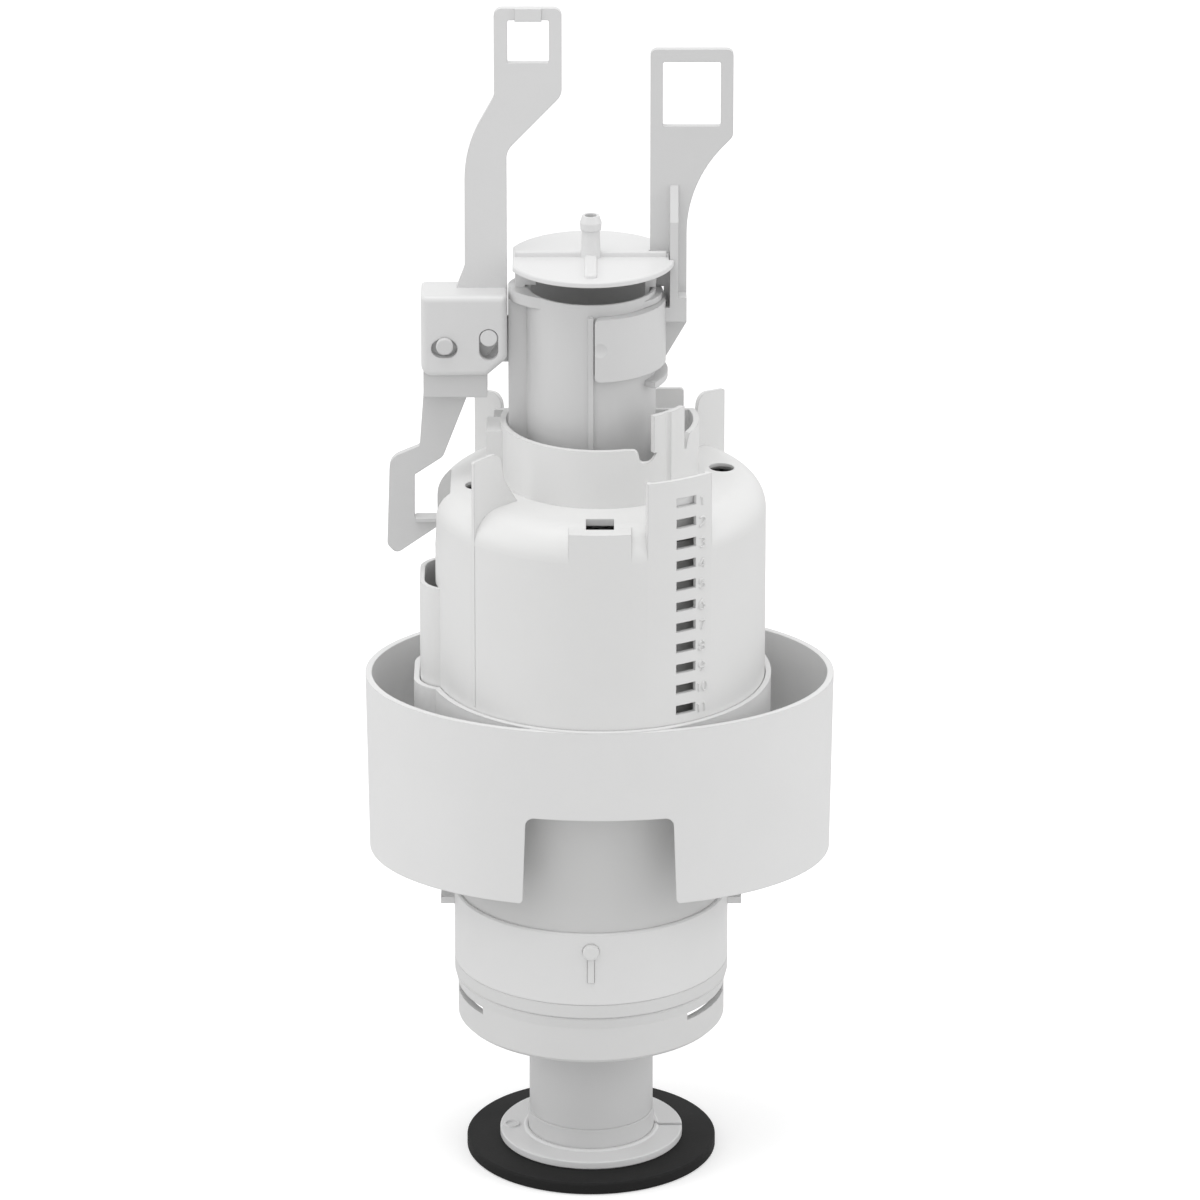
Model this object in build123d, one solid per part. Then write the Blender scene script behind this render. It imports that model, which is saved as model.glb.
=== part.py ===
from build123d import *
from math import cos, degrees, radians, sin, sqrt
import os

os.makedirs("parts", exist_ok=True)

# Toilet flush valve with two pull arms. All lengths in mm, angles in degrees.
# The origin is the centre of the seal's underside, on the overflow tube's axis, and +Z is up.
# The housing's axis stands a little to the right of the tube's axis.

# Clearances
PRESS_GAP = 0.05
RUNNING_GAP = 0.08
LOOSE_GAP = 0.4
FACE_GAP = 0.25
EDGE_BREAK = 0.4

# Seal and the pieces that hold it
SEAL_R = 31.5
SEAL_BORE_R = 16.0
SEAL_T = 3.0
SEAL_LIP_R = SEAL_BORE_R + 2.6
SEAL_LIP_T = 1.2
WASHER_R = 23.1
WASHER_T = 2.1
WASHER_BOSS_R = SEAL_BORE_R + 0.7
WASHER_BOSS_H = 0.5
WASHER_SLIT_W = 1.4
WASHER_MARK_R = 2.1
WASHER_MARK_X = (WASHER_R + WASHER_BOSS_R) / 2 + 0.3
WASHER_MARK_H = 0.35
FOOT_TOP_Z = 10.6
FOOT_SPIGOT_WALL = 1.2
FOOT_SPIGOT_L = 11.0

# Overflow tube
TUBE_FOOT_R = SEAL_BORE_R - 0.4
TUBE_DRAFT = 0.4
TUBE_HEAD_R = TUBE_FOOT_R + TUBE_DRAFT
TUBE_WALL = 1.3
TUBE_L = 219.7
TUBE_TOP_Z = FOOT_TOP_Z + TUBE_L
RIM_H = 2.9
RIM_LIP_X = TUBE_HEAD_R + 1.6
RIM_LIP_HALF_W = TUBE_HEAD_R - 2.0
RIM_EDGE_T = 0.5
RIM_LIP_DROP = 1.3
RAIL_X = TUBE_HEAD_R + 4.2
RAIL_HALF_W = 3.1
RAIL_L = 78.3
RIM_WING_HALF_W = TUBE_HEAD_R - 3.0
RIB_W = 1.4
RIB_R = TUBE_HEAD_R + 1.1
LEDGE_R = TUBE_HEAD_R + 2.9
LEDGE_Z = TUBE_TOP_Z - 23.2
LEDGE_T = 1.5
LEDGE_HALF_ANGLE = 34.0
FLOAT_STOP_R = TUBE_HEAD_R + 2.6
FLOAT_STOP_T = 1.5
LIFT = 22.0

# Cap on the tube
CAP_R = TUBE_HEAD_R + 4.5
CAP_FLAT_X = CAP_R - 1.45
CAP_T = 1.3
CAP_TOP_Z = TUBE_TOP_Z + 7.3
CAP_RIB_H = 1.3
CAP_RIB_W = 1.2
CAP_SPINE_W = 3.0
CAP_SPINE_L = CAP_R - 3.2
CAP_SPINE_H = 1.0
CAP_LEG_W = 4.0
CAP_LEG_OUT_X = CAP_FLAT_X - 0.55
CAP_LEG_STEP_X = CAP_LEG_OUT_X - 2.4
CAP_LEG_IN_X = CAP_LEG_OUT_X - 5.1
CAP_LEG_STEP_H = 0.6
CAP_HOOK_L = 7.0
CAP_HOOK_T = 1.1
CAP_HOOK_HEAD_T = 1.5
NIPPLE_NECK_R = 2.15
NIPPLE_BARB_R = 2.66
NIPPLE_TIP_R = 2.1
NIPPLE_BORE_R = 1.45
NIPPLE_BARB_Z = CAP_TOP_Z + 7.0
NIPPLE_WIDEST_Z = NIPPLE_BARB_Z + 1.8
NIPPLE_TIP_Z = NIPPLE_WIDEST_Z + 1.7

# Skirt, collar and lower body
BODY_R = 33.5
BODY_WALL = 1.7
BODY_STEP = 0.7
SKIRT_FOOT_Z = 36.9
SKIRT_WALL = 1.8
SKIRT_CONE_Z = SKIRT_FOOT_Z + 9.5
SKIRT_GROOVE_Z = SKIRT_CONE_Z + 2.9
SKIRT_GROOVE_D = 0.35
SKIRT_SLOT_Z = SKIRT_FOOT_Z + 7.4
SKIRT_SLOT_H = 1.9
SKIRT_SLOT_ANGLES = ((-44.0, 36.0), (188.0, 28.0))
BODY_FOOT_Z = SKIRT_FOOT_Z + 10.7
BAYONET_R = BODY_R + 0.85
BAYONET_H = 19.1
BAYONET_FOOT_Z = BODY_FOOT_Z + 5.55
BAYONET_TOP_Z = BAYONET_FOOT_Z + BAYONET_H
BAYONET_LUG_X = BAYONET_R + 3.35
BAYONET_LUG_Z = BAYONET_TOP_Z - 4.9
BAYONET_LUG_H = 1.8
BAYONET_LUG_W = 6.0
KNOB_R = 2.07
KNOB_Z = BAYONET_TOP_Z - 4.65
KNOB_OUT = 1.3
KNOB_GAP = PRESS_GAP
KNOB_STEM_W = 1.7
KNOB_STEM_L = 8.4
KNOB_STEM_FOOT_Z = KNOB_Z - KNOB_STEM_L
KNOB_TONGUE_HALF_W = KNOB_R + 0.2
PORT_W = 18.0
PORT_H = 14.0
PORT_Z = BAYONET_TOP_Z + 11.75

# Oval ring and cup round the bell
BELL_R = 41.1
BELL_WALL = 1.8
HOUSING_X = 2.15
CUP_WALL = 1.4
CUP_GAP = 0.2
CUP_FLOOR_T = 1.8
RING_HALF_LENGTH = BELL_R + 17.2
RING_WALL = 1.6
RING_H = 46.2
RING_FOOT_Z = BAYONET_TOP_Z + 10.55
RING_RIM_Z = RING_FOOT_Z + RING_H
RING_DRAFT = 0.7
NOTCH_TOP_Z = RING_RIM_Z - 23.1
NOTCH_TOP_W = 36.3
NOTCH_FOOT_W = NOTCH_TOP_W + 1.6
NOTCH_CORNER_R = 2.2
NOTCH_FOOT_CORNER_R = 1.3
CUP_FLOOR_Z = NOTCH_TOP_Z
CUP_RIM_Z = RING_RIM_Z + 0.25

# Housing: bell, collar and fins
BELL_FOOT_Z = CUP_FLOOR_Z + CUP_FLOOR_T
SHOULDER_R = 8.0
DOME_TOP_Z = CUP_FLOOR_Z + 75.0
DOME_SLOPE = 0.036
BELL_DOOR_H = 5.1
BELL_DOOR_W = 24.0
BELL_DOOR_ANGLES = (45.0, 135.0, 315.0)
COLLAR_R = RAIL_X + 4.3
COLLAR_WALL = 1.5
COLLAR_TOP_Z = DOME_TOP_Z + 14.7
COLLAR_BACK_Z = DOME_TOP_Z + 7.5
COLLAR_SHELF_Z = DOME_TOP_Z - 3.9
COLLAR_SHELF_T = 2.0
COLLAR_SHELF_W = 2.6
COLLAR_WEB_Y = 6.6
COLLAR_WEB_T = 1.2
FINGER_TOP_Z = COLLAR_TOP_Z + 7.8
FINGER_START = -57.1
FINGER_SWEEP = 25.1
FINGER_FLUTE_R = 1.1
FINGER_FLUTE_ANGLE = -46.9
COLLAR_DIP_Z = COLLAR_TOP_Z - 3.9
COLLAR_DIP_W = 8.1
TEAR_SLOT_W = 3.6
TEAR_SLOT_DEPTH = 3.4
FACET_X = COLLAR_R + 1.1
FACET_HALF_W = RAIL_HALF_W + 2.4
FIN_T = 1.0
FIN_TOP_Z = COLLAR_TOP_Z - 1.4
FIN_ANGLES = (41.4, 138.6, 221.4)
BACK_TAB_TOP_Z = COLLAR_TOP_Z - 1.0
BACK_TAB_X = HOUSING_X + 17.35
BACK_TAB_W = 7.2
BACK_TAB_T = 1.4
SIDE_TAB_X = -COLLAR_R + 2.3
SIDE_TAB_W = 3.4
SIDE_TAB_Y = 9.0
VENT_R = 3.1
VENT_WALL = 0.95
VENT_PLACES = ((-27.8, -6.8), (32.3, 5.9))
PAD_LEFT_X = -5.4
PAD_RIGHT_X = 9.9
PAD_TOP_Z = DOME_TOP_Z - 0.85
PAD_H = 12.0
PAD_D = 12.05
PAD_SLOT_W = 6.8
PAD_SLOT_D = 5.8
PAD_SLOT_IN = 4.35
PAD_SLOT_T = 1.2
POCKET_DEPTH = 4.4
POCKET_HALF_W = 8.5
POCKET_FLOOR_Z = DOME_TOP_Z - 15.7
BELL_SEAM_W = 1.1
BELL_SEAM_H = 0.08

# Channel on the bell's left side
CHANNEL_REACH = BELL_R + 3.4
CHANNEL_HALF_W = 12.2
CHANNEL_WALL = 1.2
CHANNEL_CORNER_R = 8.0
CHANNEL_TOP_Z = DOME_TOP_Z - 25.9
CHANNEL_FLAT_REACH = CHANNEL_REACH - 6.1
BULGE_HALF_W = CHANNEL_HALF_W + 1.6
BULGE_CORNER_R = 8.7
BELL_FLAT_REACH = BELL_R - 0.6

# Numbered scale and the slider behind it
SCALE_TOP_Z = DOME_TOP_Z + 11.7
SCALE_WALL = 1.2
SCALE_START = 16.5
SCALE_END = 41.5
SCALE_STEPS = 11
SCALE_PITCH = 5.39
SCALE_FIRST_Z = SCALE_TOP_Z - 5.9
SCALE_WINDOW_W = 5.5
SCALE_WINDOW_H = 2.4
SCALE_WINDOW_ANGLE = 30.9
SCALE_BACK_T = 1.2
SCALE_FOOT_Z = SCALE_FIRST_Z - SCALE_PITCH * (SCALE_STEPS - 1) - SCALE_WINDOW_H / 2 - 0.8
SLIDER_GAP = 0.3
SLIDER_T = 1.7
SLIDER_H = 6.0
SLIDER_SWEEP = 17.0
SLIDER_LIP_H = 1.6
SLIDER_RAIL_T = 1.2

# Float on the tube
FLOAT_R = BELL_R - 8.1
FLOAT_Z = BELL_FOOT_Z + 2.3
FLOAT_H = 27.0
FLOAT_WALL = 1.6
FLOAT_WEBS = 4
FLOAT_WEB_SHARE = 0.55
CLIP_T = 1.6
CLIP_R = FLOAT_STOP_R + 1.4
CLIP_MOUTH = 24.0

# Guides for the tube
BUSH_T = 4.0
GUIDE_Z = BAYONET_TOP_Z + 3.75
GUIDE_H = 6.0
GUIDE_WALL = 2.0
GUIDE_ARM_T = 2.0
GUIDE_ARMS = 3

# Full flush arm
BAND_R = TUBE_HEAD_R + 2.4
BAND_FOOT_Z = TUBE_TOP_Z - 19.1
BAND_CORNER_R = 1.4
BAND_DIMPLE_R = 4.0
BAND_DIMPLE_DEPTH = 0.4
BAND_DIMPLE_X = 2.8
BAND_DIMPLE_Z = BAND_FOOT_Z + 8.2
FULL_ARM_FRONT_Y = 2.5
FULL_ARM_T = 2.0
FULL_ARM_LEFT_X = RIM_LIP_X - 3.1
FULL_ARM_NECK_X = BAND_R + 5.0
FULL_ARM_RIGHT_X = FULL_ARM_NECK_X + 11.2
FULL_ARM_TOP_Z = CAP_TOP_Z + 51.8
FULL_HEAD_FOOT_Z = FULL_ARM_TOP_Z - 22.5
FULL_WINDOW_W = 14.1
FULL_WINDOW_H = 16.4
FULL_WINDOW_MARGIN = 3.0
FULL_WINDOW_DROP = 3.1
FULL_RIB_X = FULL_ARM_NECK_X - 4.1
FULL_RIB_W = 2.1
FULL_RIB_TOP_Z = FULL_HEAD_FOOT_Z - 11.9
FULL_RIB_RUN = 8.0
FULL_LEDGE_FRONT_Y = -2.6
FULL_LEDGE_Z = BAND_FOOT_Z + 10.3
FULL_LEDGE_H = 3.7
FULL_LEDGE_OUTER_H = 6.2

# Pivot of the half flush lever, on the tube's lug
PIVOT_X = -RAIL_X - 4.75
PIVOT_Z = TUBE_TOP_Z - 11.7
PIVOT_R = 2.1
LUG_T = 2.4
LUG_R = 3.4
LUG_FOOT_Z = PIVOT_Z - 7.8
TRACE_X = PIVOT_X - 10.75
TRACE_Z = PIVOT_Z - 2.72
TRACE_PIN_R = 1.38
TRACE_PIN_LIFT = 0.86
TRACE_HEAD_T = 1.1

# Half flush arm and its bracket
PULL_TRAVEL = 3.4
SLOT_R = PIVOT_R + 0.22
SLOT_LEFT = 1.0
SLOT_RIGHT = 0.8
BRACKET_LEFT_X = TRACE_X - 5.8
BRACKET_RIGHT_X = -RAIL_X - FACE_GAP
BRACKET_TOP_Z = PIVOT_Z + 10.7
BRACKET_FOOT_Z = PIVOT_Z - 10.1
BRACKET_HALF_D = 6.35
BRACKET_WALL = 1.8
BRACKET_EDGE_R = 1.5
HALF_ARM_FRONT_Y = 0.65
HALF_ARM_T = 2.0
HALF_NECK_W = 10.2
HALF_NECK_RIGHT_X = BRACKET_RIGHT_X - 0.05
HALF_NECK_LEFT_X = HALF_NECK_RIGHT_X - HALF_NECK_W
HALF_ARM_LEFT_X = HALF_NECK_LEFT_X + 7.25
HALF_ARM_RIGHT_X = HALF_ARM_LEFT_X + 16.4
HALF_ARM_TOP_Z = BRACKET_TOP_Z + 71.0
HALF_HEAD_FOOT_Z = HALF_ARM_TOP_Z - 21.9
HALF_NECK_TOP_Z = HALF_HEAD_FOOT_Z - 14.1
HALF_WINDOW_W = 10.1
HALF_WINDOW_H = 10.9
HALF_WINDOW_MARGIN = 3.25
HALF_WINDOW_DROP = 2.9
WINDOW_CORNER_R = 0.5
HALF_TAB_W = 6.5
HALF_TAB_T = 0.5

# Half flush lever
LEVER_BLOCK_LEFT_X = BRACKET_LEFT_X + 0.5
LEVER_BLOCK_RIGHT_X = PIVOT_X - 0.45
LEVER_BLOCK_FOOT_Z = PIVOT_Z - 16.0
LEVER_BLOCK_TOP_Z = PIVOT_Z + 2.4
LEVER_BOSS_R = 3.5
LEVER_BOSS_HALF_D = 2.7
LEG_T = 2.2
TOE_X = HOUSING_X - BELL_R + POCKET_DEPTH - 0.6
TOE_TOP_Z = POCKET_FLOOR_Z + 4.4
TOE_PAD_W = 4.4
TOE_PAD_L = 8.1
TOE_PAD_T = 0.9

# Small float in the channel
ROD_R = 1.2
SMALL_FLOAT_D = 2.9
SMALL_FLOAT_HALF_W = 6.2
SMALL_FLOAT_H = 24.1
SMALL_FLOAT_Z = BELL_FOOT_Z + FACE_GAP
ROD_TOP_Z = SMALL_FLOAT_Z + SMALL_FLOAT_H + 14.95

BASE = (Align.CENTER, Align.CENTER, Align.MIN)
CUT = 1.0


def drum(radius, z_low, z_high, x=0.0):
    """Solid cylinder on an upright axis at x."""
    return Pos(x, 0, z_low) * Cylinder(radius, z_high - z_low, align=BASE)


def ring(r_out, r_in, z_low, z_high, x=0.0):
    """Plain round ring between two heights."""
    return drum(r_out, z_low, z_high, x) - drum(r_in, z_low - CUT, z_high + CUT, x)


def block(x_low, x_high, y_low, y_high, z_low, z_high):
    """Box between two corners."""
    size = Box(x_high - x_low, y_high - y_low, z_high - z_low)
    return Pos((x_low + x_high) / 2, (y_low + y_high) / 2, (z_low + z_high) / 2) * size


def spun(points, x=0.0, start=0.0, sweep=360.0):
    """Profile of (radius, height) points turned about an upright axis, anticlockwise from +X."""
    face = make_face(Polyline(*[(r, 0, z) for r, z in points], close=True))
    return Pos(x, 0, 0) * (Rot(0, 0, start) * revolve(face, Axis.Z, revolution_arc=sweep))


def sector(r_out, r_in, z_low, z_high, start, sweep, x=0.0):
    """Part of a ring, from a start angle through a sweep."""
    return spun([(r_in, z_low), (r_out, z_low), (r_out, z_high), (r_in, z_high)], x, start, sweep)


def plate(outline, y_front, y_back):
    """Upright plate facing the front: an outline of (x, z, corner radius) points."""
    wire = FilletPolyline(*[(x, z) for x, z, _ in outline], radius=[r for _, _, r in outline], close=True)
    face = make_face(Plane.XZ * wire)
    return Pos(0, y_back, 0) * extrude(face, amount=y_back - y_front, dir=(0, -1, 0))


def slab(outline, z_low, z_high):
    """Level slab: an outline of (x, y, corner radius) points."""
    wire = FilletPolyline(*[(x, y) for x, y, _ in outline], radius=[r for _, _, r in outline], close=True)
    return Pos(0, 0, z_low) * extrude(make_face(wire), amount=z_high - z_low, dir=(0, 0, 1))


def rod_y(radius, x, z, y_front, y_back):
    """Round pin that runs from front to back."""
    return Pos(x, (y_front + y_back) / 2, z) * Rot(90, 0, 0) * Cylinder(radius, y_back - y_front)


def front_angle(angle):
    """Angle counted from the front towards the right, as one counted from +X."""
    return angle - 90.0


def tube_r(z):
    """Outer radius of the drafted tube at a height."""
    share = (z - FOOT_TOP_Z) / (TUBE_TOP_Z - FOOT_TOP_Z)
    return TUBE_FOOT_R + (TUBE_HEAD_R - TUBE_FOOT_R) * share


def tube_passage(gap, z_low, z_high):
    """Space that the tube, its rail and its rib need when they slide through a guide."""
    rail = block(-RAIL_X - gap, 0, -RAIL_HALF_W - gap, RAIL_HALF_W + gap, z_low, z_high)
    rib = block(-RIB_W / 2 - gap, RIB_W / 2 + gap, -RIB_R - gap, 0, z_low, z_high)
    return drum(TUBE_HEAD_R + gap, z_low, z_high) + rail + rib


def half_oval(reach, half_w, z_low, z_high):
    """Level half oval on one side of the tube's axis, its tip at x = reach."""
    oval = extrude(Pos(0, 0, z_low) * Ellipse(abs(reach), half_w), amount=z_high - z_low, dir=(0, 0, 1))
    return oval & block(min(0, reach), max(0, reach), -half_w, half_w, z_low, z_high)


def rubber_seal():
    """Flat ring with a recess below for the foot's lip."""
    flat = ring(SEAL_R, SEAL_BORE_R, 0, SEAL_T)
    flat = chamfer(flat.edges().filter_by(GeomType.CIRCLE).group_by(SortBy.RADIUS)[-1], EDGE_BREAK * 0.75)
    return flat - drum(SEAL_LIP_R + PRESS_GAP, -CUT, SEAL_LIP_T)


def tube_foot():
    """Sleeve under the tube: a lip carries the seal and a spigot enters the tube's bore."""
    outer = SEAL_BORE_R - PRESS_GAP
    spigot = TUBE_FOOT_R - TUBE_WALL - PRESS_GAP
    bore = spigot - FOOT_SPIGOT_WALL
    top = FOOT_TOP_Z + FOOT_SPIGOT_L
    profile = [(bore, 0), (SEAL_LIP_R, 0), (SEAL_LIP_R, SEAL_LIP_T), (outer, SEAL_LIP_T)]
    edge = EDGE_BREAK * 0.75
    profile += [(outer, FOOT_TOP_Z - edge), (outer - edge, FOOT_TOP_Z), (spigot, FOOT_TOP_Z), (spigot, top),
                (bore, top)]
    return spun(profile)


def seal_washer():
    """Split washer that clamps the seal down on the foot."""
    bore = SEAL_BORE_R + PRESS_GAP
    low = SEAL_T
    high = SEAL_T + WASHER_T
    washer = ring(WASHER_R, bore, low, high)
    rim = washer.edges().filter_by(GeomType.CIRCLE).group_by(SortBy.RADIUS)[-1]
    washer = chamfer(rim, EDGE_BREAK * 0.625)
    foot_r = WASHER_BOSS_R + WASHER_BOSS_H
    boss_z = high + WASHER_BOSS_H
    washer += spun([(bore, low), (foot_r, low), (foot_r, high), (WASHER_BOSS_R, boss_z), (bore, boss_z)])
    washer -= block(bore - CUT, WASHER_R + CUT, -WASHER_SLIT_W / 2, WASHER_SLIT_W / 2,
                    low - CUT, high + CUT * 2)
    mark = ring(WASHER_MARK_R, WASHER_MARK_R * 0.7, high - CUT, high + WASHER_MARK_H, -WASHER_MARK_X)
    return washer + mark


def overflow_tube():
    """Drafted tube with its rim, left rail, front rib, right ledge, pivot lug and float stop."""
    low = FOOT_TOP_Z
    shell = [(TUBE_FOOT_R, low), (TUBE_HEAD_R, TUBE_TOP_Z), (0, TUBE_TOP_Z), (0, low)]
    body = spun(shell)
    rim_z = TUBE_TOP_Z - RIM_H
    body += block(-RAIL_X, 0, -RAIL_HALF_W, RAIL_HALF_W, TUBE_TOP_Z - RAIL_L, rim_z)
    body += block(-RIB_W / 2, RIB_W / 2, -RIB_R, 0, TUBE_TOP_Z - RAIL_L, rim_z)
    body += half_oval(-RAIL_X, RIM_WING_HALF_W, rim_z, TUBE_TOP_Z)
    body += half_oval(RIM_LIP_X, RIM_LIP_HALF_W, rim_z, TUBE_TOP_Z - RIM_LIP_DROP)
    body += sector(LEDGE_R, TUBE_FOOT_R, LEDGE_Z, LEDGE_Z + LEDGE_T, -LEDGE_HALF_ANGLE, 2 * LEDGE_HALF_ANGLE)
    lug = plate([(PIVOT_X - LUG_R, PIVOT_Z - LUG_R * 0.4, 0), (PIVOT_X - LUG_R, PIVOT_Z + LUG_R, LUG_R * 0.9),
                 (-RAIL_X + CUT, PIVOT_Z + LUG_R, 0), (-RAIL_X + CUT, LUG_FOOT_Z, 0),
                 (PIVOT_X + 1.4, LUG_FOOT_Z, 0.8)], -LUG_T / 2, LUG_T / 2)
    body += lug - rod_y(PIVOT_R, PIVOT_X, PIVOT_Z, -LUG_T, LUG_T)
    stop_z = FLOAT_Z - FLOAT_STOP_T
    body += drum(FLOAT_STOP_R, stop_z, FLOAT_Z)
    foot_bore = TUBE_FOOT_R - TUBE_WALL
    head_bore = TUBE_HEAD_R - TUBE_WALL
    mouth = TUBE_HEAD_R - RIM_EDGE_T
    bore = [(foot_bore, low - CUT), (foot_bore, low + FOOT_SPIGOT_L),
            (head_bore, TUBE_TOP_Z - mouth + head_bore), (mouth, TUBE_TOP_Z), (mouth, TUBE_TOP_Z + CUT)]
    return body - spun(bore + [(0, TUBE_TOP_Z + CUT), (0, low - CUT)])


def overflow_cap():
    """Splash disc over the tube with two hooked legs, cross ribs and a hose nipple."""
    disc_z = CAP_TOP_Z - CAP_T
    disc = drum(CAP_R, disc_z, CAP_TOP_Z)
    disc -= block(-CAP_R - CUT, -CAP_FLAT_X, -CAP_R, CAP_R, disc_z - CUT, CAP_TOP_Z + CUT)
    disc = fillet(disc.edges().group_by(Axis.Z)[-1], EDGE_BREAK)
    seated = disc_z + CAP_T / 4
    sunk = CAP_TOP_Z - EDGE_BREAK
    reach = CAP_FLAT_X - EDGE_BREAK * 1.5
    rib = block(-reach, reach, -CAP_RIB_W / 2, CAP_RIB_W / 2, seated, CAP_TOP_Z + CAP_RIB_H)
    disc += fillet(rib.edges().filter_by(Axis.X).group_by(Axis.Z)[-1], EDGE_BREAK)
    half = CAP_SPINE_W / 2
    spine = slab([(-half, 0, 0), (half, 0, 0), (half, -CAP_SPINE_L, half * 0.9),
                  (-half, -CAP_SPINE_L, half * 0.9)], sunk, CAP_TOP_Z + CAP_SPINE_H)
    disc += fillet(spine.edges().group_by(Axis.Z)[-1], CAP_SPINE_H * 0.6)
    nipple = [(0, sunk), (NIPPLE_NECK_R + EDGE_BREAK, sunk), (NIPPLE_NECK_R, NIPPLE_BARB_Z),
              (NIPPLE_BARB_R - EDGE_BREAK / 4, NIPPLE_BARB_Z), (NIPPLE_BARB_R, NIPPLE_WIDEST_Z),
              (NIPPLE_TIP_R, NIPPLE_TIP_Z), (0, NIPPLE_TIP_Z)]
    disc += spun(nipple)
    leg_y = CAP_LEG_W / 2
    disc += block(-CAP_LEG_OUT_X, -CAP_LEG_STEP_X, -leg_y, leg_y, TUBE_TOP_Z, seated)
    disc += block(-CAP_LEG_STEP_X - CUT, -CAP_LEG_IN_X, -leg_y, leg_y, TUBE_TOP_Z + CAP_LEG_STEP_H, seated)
    hook_r = TUBE_HEAD_R - TUBE_WALL - PRESS_GAP * 4
    hook = ring(hook_r, hook_r - CAP_HOOK_T, TUBE_TOP_Z - CAP_HOOK_L, seated)
    hook += ring(hook_r + CAP_HOOK_HEAD_T, hook_r - CAP_HOOK_T, TUBE_TOP_Z, seated)
    disc += hook & block(0, CAP_R, -leg_y, leg_y - EDGE_BREAK, TUBE_TOP_Z - CAP_HOOK_L, seated)
    slot_front = FULL_ARM_FRONT_Y - FACE_GAP
    slot_back = FULL_ARM_FRONT_Y + FULL_ARM_T + FACE_GAP
    slot_low = TUBE_TOP_Z - CAP_HOOK_L - CUT
    slot_high = CAP_TOP_Z + CUT * 2
    far = CAP_R + CUT
    disc -= block(FULL_ARM_LEFT_X - FACE_GAP, far, slot_front, slot_back, slot_low, slot_high)
    rib_front = FULL_LEDGE_FRONT_Y - FACE_GAP
    disc -= block(FULL_RIB_X - FACE_GAP, far, rib_front, slot_back, slot_low, slot_high)
    return disc - drum(NIPPLE_BORE_R, disc_z - CUT, NIPPLE_TIP_Z + CUT)


def window_plug(left, top, width, height, y_front, y_back):
    """Cutter for the finger window in an arm's head."""
    corner = WINDOW_CORNER_R
    outline = [(left, top - height, corner), (left + width, top - height, corner),
               (left + width, top, corner), (left, top, corner)]
    return plate(outline, y_front - CUT, y_back + CUT)


def full_flush_arm():
    """Pull arm with a half band round the tube's head."""
    band_top = TUBE_TOP_Z - RIM_H - RUNNING_GAP
    bore = TUBE_HEAD_R + PRESS_GAP
    band = sector(BAND_R, bore, BAND_FOOT_Z, band_top, -90, 180)
    band -= block(-CUT, RIB_W / 2 + FACE_GAP, -BAND_R - CUT, BAND_R + CUT, BAND_FOOT_Z - CUT, band_top + CUT)
    tips = band.edges().filter_by(Axis.Y).group_by(Axis.X)[0]
    band = fillet(tips, BAND_CORNER_R)
    dimple_y = -sqrt(BAND_R ** 2 - BAND_DIMPLE_X ** 2) + BAND_DIMPLE_DEPTH - BAND_DIMPLE_R
    band -= Pos(BAND_DIMPLE_X, dimple_y, BAND_DIMPLE_Z) * Sphere(BAND_DIMPLE_R)
    back = FULL_ARM_FRONT_Y + FULL_ARM_T
    clear_x = RIM_LIP_X + FACE_GAP
    lip_z = TUBE_TOP_Z - RIM_LIP_DROP + RUNNING_GAP
    disc_low = CAP_TOP_Z - CAP_T - 3.0
    band_in = bore + LOOSE_GAP
    outline = [(FULL_ARM_LEFT_X, FULL_ARM_TOP_Z, 1.6), (FULL_ARM_RIGHT_X, FULL_ARM_TOP_Z, 1.6),
               (FULL_ARM_RIGHT_X, FULL_HEAD_FOOT_Z + 0.5, 2.5),
               (FULL_ARM_NECK_X, FULL_HEAD_FOOT_Z - 11.3, 32.0), (FULL_ARM_NECK_X, FULL_LEDGE_Z - 1.8, 0.6),
               (BAND_R, BAND_FOOT_Z - FACE_GAP, 0), (band_in, BAND_FOOT_Z - FACE_GAP, 0),
               (band_in, band_top, 0), (clear_x, band_top, 0), (clear_x, lip_z, 0), (bore, lip_z, 0),
               (bore, disc_low, 0.6),
               (FULL_ARM_LEFT_X, disc_low, 0)]
    arm = plate(outline, FULL_ARM_FRONT_Y, back)
    window_left = FULL_ARM_RIGHT_X - FULL_WINDOW_MARGIN - FULL_WINDOW_W
    window_top = FULL_ARM_TOP_Z - FULL_WINDOW_DROP
    arm -= window_plug(window_left, window_top, FULL_WINDOW_W, FULL_WINDOW_H, FULL_ARM_FRONT_Y, back)
    rib_left = FULL_RIB_X
    rib_right = FULL_RIB_X + FULL_RIB_W
    front = FULL_LEDGE_FRONT_Y
    rib = Polyline((FULL_ARM_FRONT_Y + EDGE_BREAK, FULL_LEDGE_Z), (front, FULL_LEDGE_Z),
                   (front, FULL_RIB_TOP_Z - FULL_RIB_RUN), (FULL_ARM_FRONT_Y - EDGE_BREAK, FULL_RIB_TOP_Z),
                   (FULL_ARM_FRONT_Y + EDGE_BREAK, FULL_RIB_TOP_Z), close=True)
    arm += Pos(rib_left, 0, 0) * extrude(make_face(Plane.YZ * rib), amount=FULL_RIB_W, dir=(1, 0, 0))
    arm += block(BAND_R - 1.6, FULL_ARM_NECK_X, front, FULL_ARM_FRONT_Y, FULL_LEDGE_Z,
                 FULL_LEDGE_Z + FULL_LEDGE_H)
    arm += block(rib_right - CUT, FULL_ARM_NECK_X, front, FULL_ARM_FRONT_Y, FULL_LEDGE_Z,
                 FULL_LEDGE_Z + FULL_LEDGE_OUTER_H)
    return band + (arm - drum(bore, BAND_FOOT_Z - CUT, band_top))


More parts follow.
